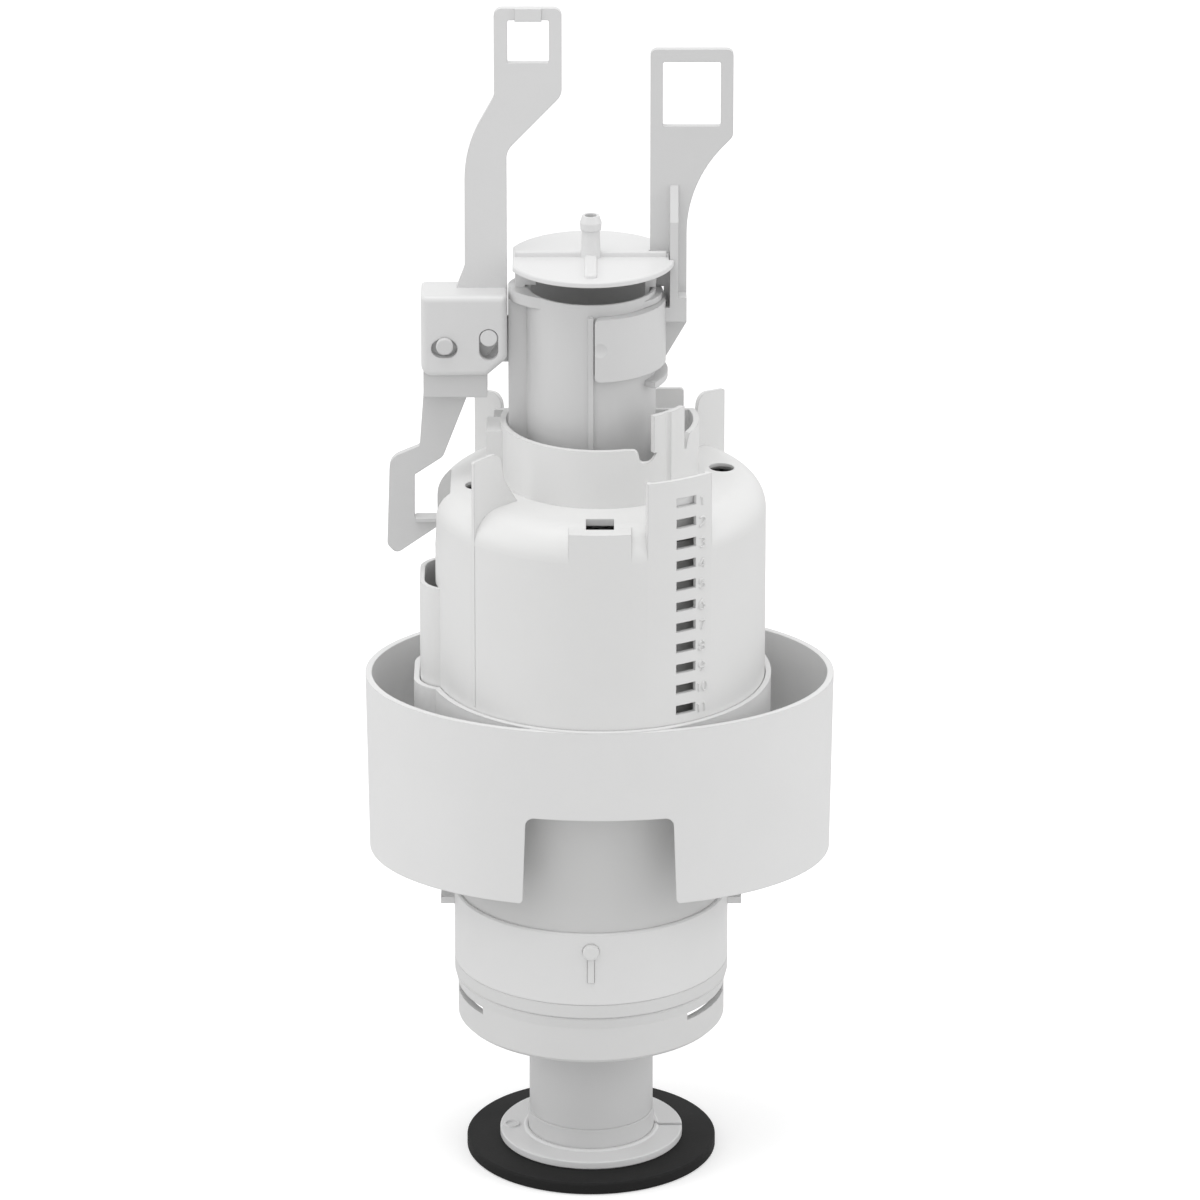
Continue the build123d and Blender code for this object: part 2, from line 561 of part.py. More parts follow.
def half_arm_outline():
    """Outline of the half flush arm above its bracket."""
    low = BRACKET_TOP_Z - CUT
    return [(HALF_ARM_LEFT_X, HALF_ARM_TOP_Z, 2.0), (HALF_ARM_RIGHT_X, HALF_ARM_TOP_Z, 2.0),
            (HALF_ARM_RIGHT_X, HALF_HEAD_FOOT_Z, 4.0), (HALF_NECK_RIGHT_X, HALF_NECK_TOP_Z, 5.0),
            (HALF_NECK_RIGHT_X, low, 0), (HALF_NECK_LEFT_X - 2.5, low, 0),
            (HALF_NECK_LEFT_X - 0.1, BRACKET_TOP_Z + 5.4, 3.0),
            (HALF_NECK_LEFT_X, HALF_NECK_TOP_Z + 0.5, 31.0),
            (HALF_ARM_LEFT_X, HALF_HEAD_FOOT_Z - 0.4, 2.0)]


def half_flush_arm():
    """Pull arm that stands on an inverted channel with two slots in each cheek."""
    back = HALF_ARM_FRONT_Y + HALF_ARM_T
    arm = plate(half_arm_outline(), HALF_ARM_FRONT_Y, back)
    window_left = HALF_ARM_LEFT_X + HALF_WINDOW_MARGIN
    window_top = HALF_ARM_TOP_Z - HALF_WINDOW_DROP
    arm -= window_plug(window_left, window_top, HALF_WINDOW_W, HALF_WINDOW_H, HALF_ARM_FRONT_Y, back)
    tab_x = window_left + HALF_WINDOW_W / 2
    arm += block(tab_x - HALF_TAB_W / 2, tab_x + HALF_TAB_W / 2, HALF_ARM_FRONT_Y - HALF_TAB_T, back,
                 window_top - FACE_GAP, HALF_ARM_TOP_Z)
    right = BRACKET_RIGHT_X
    outline = [(BRACKET_LEFT_X, BRACKET_TOP_Z, 0.8), (right, BRACKET_TOP_Z, 0.8),
               (right, BRACKET_FOOT_Z + 4.6, 2.6), (right - 5.0, BRACKET_FOOT_Z + 0.2, 1.0),
               (BRACKET_LEFT_X, BRACKET_FOOT_Z, 2.8)]
    channel = plate(outline, -BRACKET_HALF_D, BRACKET_HALF_D)
    inner = BRACKET_HALF_D - BRACKET_WALL
    channel -= block(BRACKET_LEFT_X - CUT, right + CUT, -inner, inner,
                     BRACKET_FOOT_Z - CUT, BRACKET_TOP_Z - BRACKET_WALL)
    rim = channel.edges().filter_by(Axis.X).group_by(Axis.Z)[-1]
    channel = fillet(rim, BRACKET_EDGE_R)
    deep = BRACKET_HALF_D + CUT
    tall = [(PIVOT_X - SLOT_R, PIVOT_Z - PULL_TRAVEL - SLOT_R), (PIVOT_X + SLOT_R, PIVOT_Z + SLOT_R)]
    wide = [(TRACE_X - SLOT_R - SLOT_LEFT, TRACE_Z - SLOT_R),
            (TRACE_X + SLOT_R + SLOT_RIGHT, TRACE_Z + SLOT_R)]
    for (left, low), (far, high) in (tall, wide):
        corner = SLOT_R - 0.01
        channel -= plate([(left, low, corner), (far, low, corner), (far, high, corner), (left, high, corner)],
                         -deep, deep)
    return channel + arm


def lever_leg_outline():
    """Outline of the lever's leg and foot, which points at the pocket in the bell."""
    x = TOE_X
    z = TOE_TOP_Z
    top = LEVER_BLOCK_FOOT_Z + CUT
    return [(LEVER_BLOCK_LEFT_X, top, 0), (LEVER_BLOCK_LEFT_X + 11.4, top, 0), (x - 1.3, z + 16.0, 2.4),
            (x - 8.3, z + 11.3, 0.6), (x - 8.4, z, 0.5), (x, z, 0.4), (x - 1.2, z - 1.2, 0.6),
            (x - 13.0, z - 9.5, 1.6), (x - 15.2, z - 7.0, 2.0), (x - 14.4, z + 15.6, 4.0),
            (x - 7.0, z + 18.7, 1.0)]


def half_flush_lever():
    """Lever that turns on the tube's pivot pin and follows the arm's slot with its own pin."""
    half = BRACKET_HALF_D - BRACKET_WALL - FACE_GAP
    boss_x = PIVOT_X + LEVER_BOSS_R
    outline = [(LEVER_BLOCK_LEFT_X, LEVER_BLOCK_FOOT_Z, 0.5), (LEVER_BLOCK_RIGHT_X, LEVER_BLOCK_FOOT_Z, 0.5),
               (LEVER_BLOCK_RIGHT_X, LEVER_BLOCK_FOOT_Z + 10.4, 0.5), (boss_x, PIVOT_Z - 1.5, 1.2),
               (boss_x, PIVOT_Z + LEVER_BOSS_R, 3.0), (LEVER_BLOCK_LEFT_X, LEVER_BLOCK_TOP_Z, 3.0)]
    body = plate(outline, -half, half)
    for side in (-1, 1):
        near = side * LEVER_BOSS_HALF_D
        far = side * (half + CUT)
        body -= block(PIVOT_X - LEVER_BOSS_R, boss_x + CUT, min(near, far), max(near, far),
                      LUG_FOOT_Z - 1.0, PIVOT_Z + 6.0)
    lug_room = LUG_T / 2 + FACE_GAP
    body -= block(PIVOT_X - LUG_R - 1.4, boss_x + CUT, -lug_room, lug_room, LUG_FOOT_Z - 2.2, PIVOT_Z + 6.0)
    body -= rod_y(PIVOT_R + RUNNING_GAP, PIVOT_X, PIVOT_Z, -half - CUT, half + CUT)
    body += plate(lever_leg_outline(), 0, LEG_T)
    body += block(TOE_X - TOE_PAD_L, TOE_X - EDGE_BREAK, LEG_T / 2 - TOE_PAD_W / 2, LEG_T / 2 + TOE_PAD_W / 2,
                  TOE_TOP_Z - TOE_PAD_T, TOE_TOP_Z)
    head_front = -BRACKET_HALF_D - FACE_GAP - TRACE_HEAD_T
    pin_z = TRACE_Z + TRACE_PIN_LIFT
    body += rod_y(TRACE_PIN_R, TRACE_X, pin_z, head_front, half)
    head = rod_y(PIVOT_R, TRACE_X, pin_z, head_front, -BRACKET_HALF_D - FACE_GAP)
    return body + fillet(head.edges().group_by(Axis.Y)[0], EDGE_BREAK)


def lever_pivot_pin():
    """Pin pressed through the tube's lug; its ends ride in the bracket's upright slots."""
    return rod_y(PIVOT_R, PIVOT_X, PIVOT_Z, -BRACKET_HALF_D, BRACKET_HALF_D)


def main_float():
    """Bell-shaped float, open below, that sits on the tube's stop."""
    top = FLOAT_Z + FLOAT_H
    bore = tube_r(top) + PRESS_GAP
    sleeve = bore + FLOAT_WALL
    shell = ring(FLOAT_R, bore, FLOAT_Z, top)
    hollow = ring(FLOAT_R - FLOAT_WALL, sleeve, FLOAT_Z - CUT, top - FLOAT_WALL)
    float_body = shell - hollow
    edge = float_body.edges().filter_by(GeomType.CIRCLE).group_by(Axis.Z)[-1].group_by(SortBy.RADIUS)[-1]
    float_body = fillet(edge, FLOAT_WALL * 0.75)
    inner = sleeve - FLOAT_WALL / 4
    web = block(inner, FLOAT_R - FLOAT_WALL * 0.75, -FLOAT_WALL / 2, FLOAT_WALL / 2,
                top - FLOAT_H * FLOAT_WEB_SHARE, top - FLOAT_WALL / 2)
    for turn in range(FLOAT_WEBS):
        float_body += Rot(0, 0, 45 + 360 / FLOAT_WEBS * turn) * web
    return float_body


def float_clip():
    """Open clip that holds the float down on its stop."""
    low = FLOAT_Z + FLOAT_H
    return sector(CLIP_R, tube_r(low) + PRESS_GAP, low, low + CLIP_T, CLIP_MOUTH / 2, 360 - CLIP_MOUTH)


def dome_z(radius):
    """Height of the dome's outer cone at a radius."""
    return DOME_TOP_Z - DOME_SLOPE * (radius - COLLAR_R)


def bell_profile(inset, foot_z):
    """Half profile of the bell with its shoulder, moved inwards by the inset."""
    wall_r = BELL_R - inset
    corner = SHOULDER_R - inset
    crown = dome_z(BELL_R) - inset
    outline = FilletPolyline((0, dome_z(0) - inset), (wall_r, crown), (wall_r, foot_z), radius=corner)
    closing = Polyline(outline @ 1, (0, foot_z), outline @ 0)
    return make_face((Plane.XZ * (outline + closing)).edges())


def bell_core(inset, foot_z):
    """Turned body of the bell."""
    return Pos(HOUSING_X, 0, 0) * revolve(bell_profile(inset, foot_z), Axis.Z)


def side_prism(reach, half_w, corner, z_low, z_high):
    """Prism on the housing's left side that reaches a distance from its axis."""
    left = HOUSING_X - reach
    outline = [(HOUSING_X, -half_w, 0), (HOUSING_X, half_w, 0), (left, half_w, corner),
               (left, -half_w, corner)]
    return slab(outline, z_low, z_high)


def fin(angle):
    """Radial plate on the dome, its top rounded off towards the collar."""
    inner = COLLAR_R + 2.2
    edge_z = dome_z(BELL_R)
    outline = [(BELL_R, edge_z - 12.3, 0), (BELL_R, FIN_TOP_Z - 0.3, 0.5),
               (BELL_R - 8.4, FIN_TOP_Z + 0.5, 3.0), (BELL_R - 9.6, edge_z + 7.0, 6.0),
               (inner, dome_z(inner) - CUT, 0), (BELL_R - 9.0, edge_z - 10.3, 0)]
    return Pos(HOUSING_X, 0, 0) * (Rot(0, 0, angle) * plate(outline, -FIN_T / 2, FIN_T / 2))


def scale_window(step):
    """Cutter for one of the scale's windows, turned to face outwards."""
    z = SCALE_FIRST_Z - SCALE_PITCH * step
    cutter = block(slider_outer_r() - SLIDER_T, BELL_R + CUT * 2, -SCALE_WINDOW_W / 2, SCALE_WINDOW_W / 2,
                   z - SCALE_WINDOW_H / 2, z + SCALE_WINDOW_H / 2)
    return Pos(HOUSING_X, 0, 0) * (Rot(0, 0, front_angle(SCALE_WINDOW_ANGLE)) * cutter)


def slider_arc():
    """Start angle of the slider's sector."""
    middle = (SCALE_START + SCALE_END) / 2
    return front_angle(middle - SLIDER_SWEEP / 2)


def slider_outer_r():
    """The slider runs just inside the bell's wall."""
    return BELL_R - SCALE_WALL - SLIDER_GAP


def bell_scale(bell):
    """Carry the wall up as the numbered scale, open the slider's way through the dome and cut the windows."""
    start = front_angle(SCALE_START)
    sweep = SCALE_END - SCALE_START
    bell += sector(BELL_R, BELL_R - BELL_WALL, SCALE_FOOT_Z, SCALE_TOP_Z, start, sweep, HOUSING_X)
    way_r = slider_outer_r() - SLIDER_T - LOOSE_GAP
    side = degrees_at(SLIDER_RAIL_T + LOOSE_GAP, way_r)
    rail = degrees_at(SLIDER_RAIL_T, way_r)
    low = SCALE_FIRST_Z - SCALE_PITCH * SCALE_STEPS - SLIDER_H / 2
    way_start = slider_arc() - side
    way_sweep = SLIDER_SWEEP + 2 * side
    back_top = SCALE_FIRST_Z - SLIDER_H / 2
    bell += sector(way_r + PRESS_GAP, way_r - SCALE_BACK_T, DOME_TOP_Z - BELL_WALL, back_top,
                   way_start, way_sweep, HOUSING_X)
    bell -= sector(BELL_R - SCALE_WALL, way_r, low, SCALE_TOP_Z + CUT, way_start, way_sweep, HOUSING_X)
    for at in (way_start, way_start + way_sweep - rail):
        bell += sector(BELL_R - SCALE_WALL + 0.1, way_r, low, SCALE_FIRST_Z, at, rail, HOUSING_X)
    for step in range(SCALE_STEPS):
        bell -= scale_window(step)
    return bell


def degrees_at(length, radius):
    """Angle that a length covers at a radius."""
    return degrees(length / radius)


def bell_collar(bell):
    """Collar round the tube with its facet, its notch, the fluted finger and the inner shelf."""
    bore = COLLAR_R - COLLAR_WALL
    root = DOME_TOP_Z - BELL_WALL - 0.5
    collar = ring(COLLAR_R, bore, root, COLLAR_TOP_Z, HOUSING_X)
    facet = block(-FACET_X, HOUSING_X - bore - COLLAR_WALL * 0.1, -FACET_HALF_W, FACET_HALF_W,
                  root + BELL_WALL - FACE_GAP, COLLAR_TOP_Z - COLLAR_WALL)
    collar += facet - tube_passage(LOOSE_GAP, root, COLLAR_TOP_Z + CUT)
    behind = COLLAR_WEB_Y + COLLAR_WEB_T
    collar -= block(-FACET_X - CUT, COLLAR_R + HOUSING_X + CUT, behind, COLLAR_R + CUT, COLLAR_BACK_Z,
                    COLLAR_TOP_Z + CUT)
    finger_x = HOUSING_X + COLLAR_R * cos(radians(FINGER_START))
    dip_x = finger_x - COLLAR_DIP_W
    dip = [(dip_x, COLLAR_TOP_Z + CUT, 0), (dip_x, COLLAR_TOP_Z + 0.1, 0),
           (dip_x + 3.9, COLLAR_TOP_Z - 0.3, 1.8), (dip_x + 4.8, COLLAR_DIP_Z, 1.2),
           (dip_x + 7.1, COLLAR_DIP_Z, 1.4), (finger_x + CUT, COLLAR_DIP_Z + 2.6, 0),
           (finger_x + CUT, COLLAR_TOP_Z + CUT, 0)]
    collar -= plate(dip, -COLLAR_R - CUT, -bore * 0.6)
    collar += sector(COLLAR_R, bore, COLLAR_DIP_Z + 2.2, FINGER_TOP_Z, FINGER_START, FINGER_SWEEP, HOUSING_X)
    tip = COLLAR_TOP_Z - TEAR_SLOT_DEPTH
    tear = [(0, COLLAR_TOP_Z + CUT, 0), (0, tip, 0.4), (0.9, tip, 0.4), (1.5, tip + 1.9, 1.0),
            (TEAR_SLOT_W, COLLAR_TOP_Z + CUT, 0)]
    collar -= Pos(HOUSING_X, 0, 0) * (Rot(0, 0, FINGER_START + FINGER_SWEEP + 90)
                                      * plate(tear, -COLLAR_R - CUT, -bore + CUT))
    angle = radians(FINGER_FLUTE_ANGLE)
    flute_at = COLLAR_R + FINGER_FLUTE_R * 0.4
    flute = Pos(HOUSING_X + flute_at * cos(angle), flute_at * sin(angle), root)
    collar -= flute * Cylinder(FINGER_FLUTE_R, FINGER_TOP_Z, align=BASE)
    web_low = COLLAR_SHELF_Z + COLLAR_SHELF_T + BUSH_T
    web = block(TUBE_HEAD_R - 2.0, COLLAR_R, COLLAR_WEB_Y, COLLAR_WEB_Y + COLLAR_WEB_T, web_low, COLLAR_TOP_Z)
    collar += web - drum(TUBE_HEAD_R + LOOSE_GAP, web_low - CUT, COLLAR_TOP_Z + CUT)
    collar += ring(COLLAR_R, bore - COLLAR_SHELF_W, COLLAR_SHELF_Z, COLLAR_SHELF_Z + COLLAR_SHELF_T,
                   HOUSING_X)
    collar += ring(COLLAR_R, bore, COLLAR_SHELF_Z, root + CUT, HOUSING_X)
    passage = tube_passage(LOOSE_GAP, COLLAR_SHELF_Z - CUT, COLLAR_TOP_Z + CUT)
    well = drum(bore, COLLAR_SHELF_Z + COLLAR_SHELF_T, dome_z(0) + CUT, HOUSING_X)
    mouth = drum(bore - COLLAR_SHELF_W, COLLAR_SHELF_Z - CUT * 6, dome_z(0) + CUT, HOUSING_X)
    return (bell - well - mouth + collar) - passage


def side_tab():
    """Small upright tab beside the collar, behind its facet."""
    left = SIDE_TAB_X - SIDE_TAB_W / 2
    right = SIDE_TAB_X + SIDE_TAB_W / 2
    low = DOME_TOP_Z - BELL_WALL / 2
    return block(left, right, SIDE_TAB_Y, SIDE_TAB_Y + BACK_TAB_T, low, COLLAR_TOP_Z - 1.0)


def back_tab():
    """Small upright tab on the dome behind the collar."""
    left = BACK_TAB_X - BACK_TAB_W / 2
    right = BACK_TAB_X + BACK_TAB_W / 2
    low = dome_z(BELL_R) - BELL_WALL / 2
    tab = [(left, low, 0), (right, low, 0), (right, BACK_TAB_TOP_Z, 1.0), (left, BACK_TAB_TOP_Z, 1.0)]
    return plate(tab, COLLAR_R + 0.5, COLLAR_R + 0.5 + BACK_TAB_T)


def bell_seam(angle):
    """Flat rib down the bell's wall below a fin."""
    rib = block(BELL_R - 0.5, BELL_R + BELL_SEAM_H, -BELL_SEAM_W / 2, BELL_SEAM_W / 2,
                CUP_RIM_Z + CUT, dome_z(BELL_R) - SHOULDER_R)
    return Pos(HOUSING_X, 0, 0) * (Rot(0, 0, angle) * rib)


def bell_housing():
    """Bell with dome, collar, fins, side channel, lever pocket, pad and numbered scale."""
    foot = BELL_FOOT_Z
    outer = bell_core(0, foot)
    inner = bell_core(BELL_WALL, foot - CUT)
    half = CHANNEL_HALF_W
    outer += side_prism(CHANNEL_REACH, half, CHANNEL_CORNER_R, foot, CHANNEL_TOP_Z)
    duct = side_prism(CHANNEL_REACH - CHANNEL_WALL, half - CHANNEL_WALL, CHANNEL_CORNER_R - CHANNEL_WALL,
                      foot - CUT, CHANNEL_TOP_Z + 0.01)
    flat_x = HOUSING_X - CHANNEL_FLAT_REACH
    duct -= block(flat_x, HOUSING_X + CUT, -BELL_R, BELL_R, foot - 2 * CUT, CHANNEL_TOP_Z + CUT)
    inner -= block(HOUSING_X - BELL_R, flat_x + BELL_WALL, -half - 0.6, half + 0.6, foot - 2 * CUT,
                   CHANNEL_TOP_Z + BELL_WALL)
    outer -= block(HOUSING_X - BELL_R - CUT, HOUSING_X - BELL_FLAT_REACH, -half, half, CHANNEL_TOP_Z,
                   DOME_TOP_Z + CUT)
    wall_x = HOUSING_X - BELL_R + POCKET_DEPTH
    outer -= block(HOUSING_X - BELL_R - CUT, wall_x, -POCKET_HALF_W, POCKET_HALF_W, POCKET_FLOOR_Z,
                   DOME_TOP_Z + CUT)
    inner -= block(HOUSING_X - BELL_R - CUT, wall_x + BELL_WALL, -POCKET_HALF_W - BELL_WALL,
                   POCKET_HALF_W + BELL_WALL, POCKET_FLOOR_Z - BELL_WALL, DOME_TOP_Z + CUT)
    pad_foot = PAD_TOP_Z - PAD_H
    pad = block(PAD_LEFT_X, PAD_RIGHT_X, -BELL_R - CUT, -BELL_R + PAD_D, pad_foot, PAD_TOP_Z)
    bell = outer + (pad & drum(BELL_R, pad_foot, PAD_TOP_Z, HOUSING_X)) - inner - duct
    slot_x = (PAD_LEFT_X + PAD_RIGHT_X) / 2
    slot_y = -BELL_R + PAD_SLOT_IN
    room = PAD_SLOT_W / 2 + CUT
    bell -= block(slot_x - PAD_SLOT_W / 2, slot_x + PAD_SLOT_W / 2, slot_y, slot_y + PAD_SLOT_D,
                  PAD_TOP_Z - PAD_SLOT_T * 4, PAD_TOP_Z + CUT)
    bell -= block(slot_x - room, slot_x + room, slot_y - CUT / 2, slot_y + PAD_SLOT_D + CUT,
                  PAD_TOP_Z - PAD_SLOT_T * 4, PAD_TOP_Z - PAD_SLOT_T)
    for angle in FIN_ANGLES:
        bell += fin(angle)
    bell += bell_seam(FIN_ANGLES[2])
    bell += back_tab()
    bell += side_tab()
    for x, y in VENT_PLACES:
        bell -= Pos(x, y, DOME_TOP_Z) * Cylinder(VENT_R, SHOULDER_R)
        roof = dome_z(sqrt((x - HOUSING_X) ** 2 + y ** 2)) - VENT_WALL
        bell -= Pos(x, y, roof - BELL_WALL) * Cylinder(VENT_R + CUT, BELL_WALL, align=BASE)
    bell = bell_collar(bell)
    bell = bell_scale(bell)
    door = block(0, BELL_R + CUT, -BELL_DOOR_W / 2, BELL_DOOR_W / 2, foot - CUT, foot + BELL_DOOR_H)
    for turn in BELL_DOOR_ANGLES:
        bell -= Pos(HOUSING_X, 0, 0) * (Rot(0, 0, turn) * door)
    return bell


def cup_bore():
    """Inner radius of the cup."""
    return BELL_R + CUP_GAP


def reservoir_cup():
    """Inner cup with a bulge for the channel, joined at front and back to the oval ring."""
    cup_r = cup_bore() + CUP_WALL
    reach = CHANNEL_REACH + CUP_GAP
    half = BULGE_HALF_W
    cup = drum(cup_r - PRESS_GAP, CUP_FLOOR_Z, RING_RIM_Z, HOUSING_X)
    cup &= oval_solid(0, CUP_FLOOR_Z, RING_RIM_Z)
    cup += drum(cup_r, RING_RIM_Z, CUP_RIM_Z, HOUSING_X)
    cup += side_prism(reach + CUP_WALL, half, BULGE_CORNER_R, CUP_FLOOR_Z, CUP_RIM_Z)
    floor_top = BELL_FOOT_Z
    hollow = drum(cup_bore(), floor_top, CUP_RIM_Z + CUT, HOUSING_X)
    hollow += side_prism(reach, half - CUP_WALL, BULGE_CORNER_R - CUP_WALL + 0.2, floor_top, CUP_RIM_Z + CUT)
    oval = oval_wall()
    shelf = oval_solid(RING_WALL * 0.5, NOTCH_TOP_Z, NOTCH_TOP_Z + RING_WALL)
    whole = cup + oval + shelf
    whole -= hollow
    return whole - drum(BODY_R - BODY_WALL, CUP_FLOOR_Z - CUT, floor_top + CUT)


def oval_face(half_length, half_depth, z):
    """Level oval at a height."""
    return Pos(HOUSING_X, 0, z) * Ellipse(half_length, half_depth)


def oval_solid(inset, z_low, z_high):
    """Drafted oval drum, moved inwards by the inset."""
    share = (RING_RIM_Z - z_low) / (RING_RIM_Z - RING_FOOT_Z)
    low_in = inset + RING_DRAFT * share
    top_in = inset + RING_DRAFT * (RING_RIM_Z - z_high) / (RING_RIM_Z - RING_FOOT_Z)
    depth = cup_bore() + CUP_WALL
    faces = [oval_face(RING_HALF_LENGTH - low_in, depth - low_in, z_low),
             oval_face(RING_HALF_LENGTH - top_in, depth - top_in, z_high)]
    return loft(faces)


def oval_wall():
    """Oval ring with the notch in its front."""
    wall = oval_solid(0, RING_FOOT_Z, RING_RIM_Z) - oval_solid(RING_WALL, RING_FOOT_Z - CUT, RING_RIM_Z + CUT)
    foot = RING_FOOT_Z - CUT
    low = RING_FOOT_Z - PRESS_GAP
    round_r = NOTCH_FOOT_CORNER_R
    left = HOUSING_X - NOTCH_FOOT_W / 2
    right = HOUSING_X + NOTCH_FOOT_W / 2
    outline = [(left - 2 * round_r, foot, 0), (left - 2 * round_r, low, 0), (left, low, round_r),
               (HOUSING_X - NOTCH_TOP_W / 2, NOTCH_TOP_Z, NOTCH_CORNER_R),
               (HOUSING_X + NOTCH_TOP_W / 2, NOTCH_TOP_Z, NOTCH_CORNER_R),
               (right, low, round_r), (right + 2 * round_r, low, 0), (right + 2 * round_r, foot, 0)]
    return wall - plate(outline, -RING_HALF_LENGTH, 0)


def lower_body():
    """Neck under the cup with a stepped lower part that the collar slides over."""
    bore = BODY_R - BODY_WALL
    step_r = BODY_R - BODY_STEP
    profile = [(bore, BODY_FOOT_Z), (step_r, BODY_FOOT_Z), (step_r, BAYONET_TOP_Z), (BODY_R, BAYONET_TOP_Z),
               (BODY_R, CUP_FLOOR_Z), (bore, CUP_FLOOR_Z)]
    body = spun(profile)
    port = block(BODY_R / 2, BODY_R + CUT, -PORT_W / 2, PORT_W / 2, PORT_Z, PORT_Z + PORT_H)
    for turn in (30, 90, 150):
        body -= Rot(0, 0, turn) * port
    half = KNOB_TONGUE_HALF_W
    return body - block(-half, half, -BODY_R - CUT, -bore + CUT, KNOB_STEM_FOOT_Z, KNOB_Z + half)


def knob_outline(gap):
    """Outline of the snap knob and its stem, seen from the front."""
    r = KNOB_R + gap
    w = KNOB_STEM_W / 2 + gap
    return r, w, KNOB_STEM_FOOT_Z - gap


def bayonet_collar():
    """Band round the lower body with two side lugs and a keyhole for the snap knob."""
    bore = BODY_R - BODY_STEP + PRESS_GAP
    profile = [(bore, BAYONET_FOOT_Z), (BAYONET_R, BAYONET_FOOT_Z), (BAYONET_R, BAYONET_TOP_Z - EDGE_BREAK),
               (BAYONET_R - EDGE_BREAK, BAYONET_TOP_Z), (bore, BAYONET_TOP_Z)]
    collar = spun(profile)
    half = BAYONET_LUG_W / 2
    for side in (-1, 1):
        near = side * (BAYONET_R - 0.8)
        far = side * BAYONET_LUG_X
        collar += block(min(near, far), max(near, far), -half, half, BAYONET_LUG_Z,
                        BAYONET_LUG_Z + BAYONET_LUG_H)
    r, w, foot = knob_outline(KNOB_GAP)
    collar -= rod_y(r, 0, KNOB_Z, -BAYONET_R - CUT, -bore + CUT)
    return collar - block(-w, w, -BAYONET_R - CUT, -bore + CUT, foot, KNOB_Z)


def lock_knob():
    """Springy tongue with a round knob that locks the collar on the lower body."""
    r, w, foot = knob_outline(0)
    back = -(BODY_R - BODY_WALL) + 0.6
    front = -BAYONET_R - KNOB_OUT
    root = -BODY_R + BODY_STEP + 0.1
    knob = rod_y(r, 0, KNOB_Z, front, root + 0.1)
    knob = fillet(knob.edges().group_by(Axis.Y)[0], KNOB_OUT / 2)
    stem = block(-w, w, -BAYONET_R - SKIRT_GROOVE_D, root + 0.1, foot, KNOB_Z)
    half = KNOB_TONGUE_HALF_W - PRESS_GAP
    tongue = block(-half, half, root, back, KNOB_STEM_FOOT_Z + PRESS_GAP, KNOB_Z + half)
    return knob + stem + tongue


def skirt_ring():
    """Spigot that plugs into the valve's base, with a curved slot on each side."""
    bore = BODY_R - SKIRT_WALL
    seat_r = BODY_R - BODY_STEP + PRESS_GAP
    groove = SKIRT_GROOVE_D
    profile = [(bore, SKIRT_FOOT_Z), (BODY_R - 0.9, SKIRT_FOOT_Z), (BODY_R, SKIRT_FOOT_Z + 0.9),
               (BODY_R, SKIRT_CONE_Z), (BAYONET_R - 0.2, SKIRT_GROOVE_Z - groove),
               (BAYONET_R - groove - 0.2, SKIRT_GROOVE_Z),
               (BAYONET_R, SKIRT_GROOVE_Z + groove), (BAYONET_R, BAYONET_FOOT_Z - 0.3),
               (BAYONET_R - 0.3, BAYONET_FOOT_Z), (seat_r, BAYONET_FOOT_Z), (seat_r, BODY_FOOT_Z),
               (bore, BODY_FOOT_Z)]
    skirt = spun(profile)
    for start, sweep in SKIRT_SLOT_ANGLES:
        skirt -= sector(BAYONET_R + CUT, bore - CUT, SKIRT_SLOT_Z, SKIRT_SLOT_Z + SKIRT_SLOT_H, start, sweep)
    return skirt


def guide_bush():
    """Ring in the collar that guides the tube, slotted for its rail and rib."""
    low = COLLAR_SHELF_Z + COLLAR_SHELF_T
    bore = COLLAR_R - COLLAR_WALL - PRESS_GAP
    bush = drum(bore, low, low + BUSH_T, HOUSING_X)
    bush = chamfer(bush.edges().filter_by(GeomType.CIRCLE).group_by(Axis.Z)[-1], EDGE_BREAK)
    return bush - tube_passage(LOOSE_GAP - 0.1, low - CUT, low + BUSH_T + CUT)


def lower_guide():
    """Spider in the lower body that keeps the tube on its axis."""
    bore = tube_r(GUIDE_Z + GUIDE_H + LIFT) + LOOSE_GAP
    hub = bore + GUIDE_WALL
    body_bore = BODY_R - BODY_WALL - PRESS_GAP
    guide = ring(hub, bore, GUIDE_Z, GUIDE_Z + GUIDE_H)
    guide += ring(body_bore, body_bore - GUIDE_WALL, GUIDE_Z, GUIDE_Z + GUIDE_H)
    for turn in range(GUIDE_ARMS):
        arm = block(hub - 0.5, body_bore - GUIDE_WALL / 2, -GUIDE_ARM_T / 2, GUIDE_ARM_T / 2,
                    GUIDE_Z, GUIDE_Z + GUIDE_H)
        guide += Rot(0, 0, 90 + turn * 360 / GUIDE_ARMS) * arm
    return guide


def volume_slider():
    """Small curved shutter that stands behind the first window and slides down the scale."""
    outer = slider_outer_r()
    low = SCALE_FIRST_Z - SLIDER_H / 2
    shutter = sector(outer, outer - SLIDER_T, low, low + SLIDER_H, slider_arc(), SLIDER_SWEEP, HOUSING_X)
    lip = sector(outer, outer - SLIDER_T, low + SLIDER_H - 0.1, low + SLIDER_H + SLIDER_LIP_H,
                 slider_arc() + SLIDER_SWEEP * 0.3, SLIDER_SWEEP * 0.4, HOUSING_X)
    return shutter + lip


def half_flush_float():
    """Flat float that rides in the side channel."""
    far = HOUSING_X - CHANNEL_REACH + CHANNEL_WALL + LOOSE_GAP
    near = far + SMALL_FLOAT_D
    half = SMALL_FLOAT_HALF_W
    outline = [(far, -half, 1.0), (near, -half, 0.8), (near, half, 0.8), (far, half, 1.0)]
    return slab(outline, SMALL_FLOAT_Z, SMALL_FLOAT_Z + SMALL_FLOAT_H) - float_rod()


